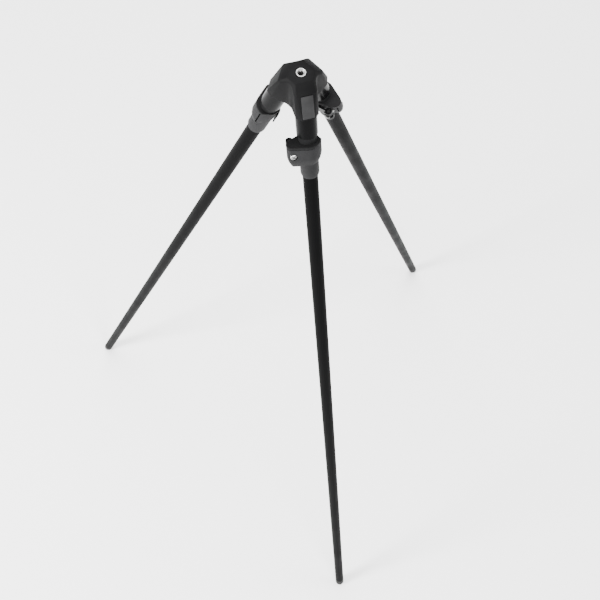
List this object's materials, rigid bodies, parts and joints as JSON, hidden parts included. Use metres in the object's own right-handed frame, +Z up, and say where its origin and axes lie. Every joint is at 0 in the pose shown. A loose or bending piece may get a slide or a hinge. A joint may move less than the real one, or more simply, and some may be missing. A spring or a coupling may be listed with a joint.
{
  "type": "tripod hunting stand",
  "caption": "Tripod hunting stand with a facetted plastic hub, a threaded top insert and straight tubular legs, each held in a flip-lever clamp.",
  "frame": {"origin": "on the ground plane, below the middle of the stand's bounding box", "axes": "+Z up, -Y towards the front leg, +X to the right when facing the front leg's plate"},
  "size_m": [0.7186, 0.6245, 1.2437],
  "materials": {
    "hub_plastic": "matte moulded",
    "badge_plastic": "satin, plain",
    "insert_steel": "bright turned",
    "stub_aluminium": "gloss black anodised",
    "clamp_plastic": "satin moulded",
    "lever_plastic": "semi-gloss",
    "fastener_steel": "bright zinc",
    "pin_steel": "black oxide",
    "tube_aluminium": "satin black anodised",
    "foot_rubber": "matte"
  },
  "bodies": {
    "head": {"hub_body": "hub_plastic", "hub_insert": "insert_steel", "front_badge": "badge_plastic", "stub_tube_front": "stub_aluminium", "clamp_collar_front": "clamp_plastic", "clamp_body_front": "clamp_plastic", "clamp_screw_front": "fastener_steel", "lever_pin_front": "pin_steel", "clamp_nut_front": "fastener_steel", "stub_tube_right": "stub_aluminium", "clamp_collar_right": "clamp_plastic", "clamp_body_right": "clamp_plastic", "clamp_screw_right": "fastener_steel", "lever_pin_right": "pin_steel", "clamp_nut_right": "fastener_steel", "stub_tube_left": "stub_aluminium", "clamp_collar_left": "clamp_plastic", "clamp_body_left": "clamp_plastic", "clamp_screw_left": "fastener_steel", "lever_pin_left": "pin_steel", "clamp_nut_left": "fastener_steel"},
    "leg_front": {"leg_tube_front": "tube_aluminium", "tube_plug_front": "clamp_plastic", "foot_tip_front": "foot_rubber"},
    "lever_front": {"clamp_lever_front": "lever_plastic"},
    "leg_right": {"leg_tube_right": "tube_aluminium", "tube_plug_right": "clamp_plastic", "foot_tip_right": "foot_rubber"},
    "lever_right": {"clamp_lever_right": "lever_plastic"},
    "leg_left": {"leg_tube_left": "tube_aluminium", "tube_plug_left": "clamp_plastic", "foot_tip_left": "foot_rubber"},
    "lever_left": {"clamp_lever_left": "lever_plastic"}
  },
  "joints": [
    {"name": "leg_slide_front", "type": "slide", "parent": "head", "child": "leg_front", "axis": [0, -0.306, -0.952], "range_m": [0, 0.06]},
    {"name": "lever_hinge_front", "type": "hinge", "parent": "head", "child": "lever_front", "pos_m": [-0.0172, 0.07465, 1.15911], "axis": [0, 0.306, 0.952], "range_deg": [0, 90]},
    {"name": "leg_slide_right", "type": "slide", "parent": "head", "child": "leg_right", "axis": [0.265, 0.153, -0.952], "range_m": [0, 0.06]},
    {"name": "lever_hinge_right", "type": "hinge", "parent": "head", "child": "lever_right", "pos_m": [0.03176, 0.09988, 1.15911], "axis": [-0.265, -0.153, 0.952], "range_deg": [0, 90]},
    {"name": "leg_slide_left", "type": "slide", "parent": "head", "child": "leg_left", "axis": [-0.265, 0.153, -0.952], "range_m": [0, 0.06]},
    {"name": "lever_hinge_left", "type": "hinge", "parent": "head", "child": "lever_left", "pos_m": [-0.01456, 0.12967, 1.15911], "axis": [0.265, -0.153, 0.952], "range_deg": [0, 90]}
  ]
}
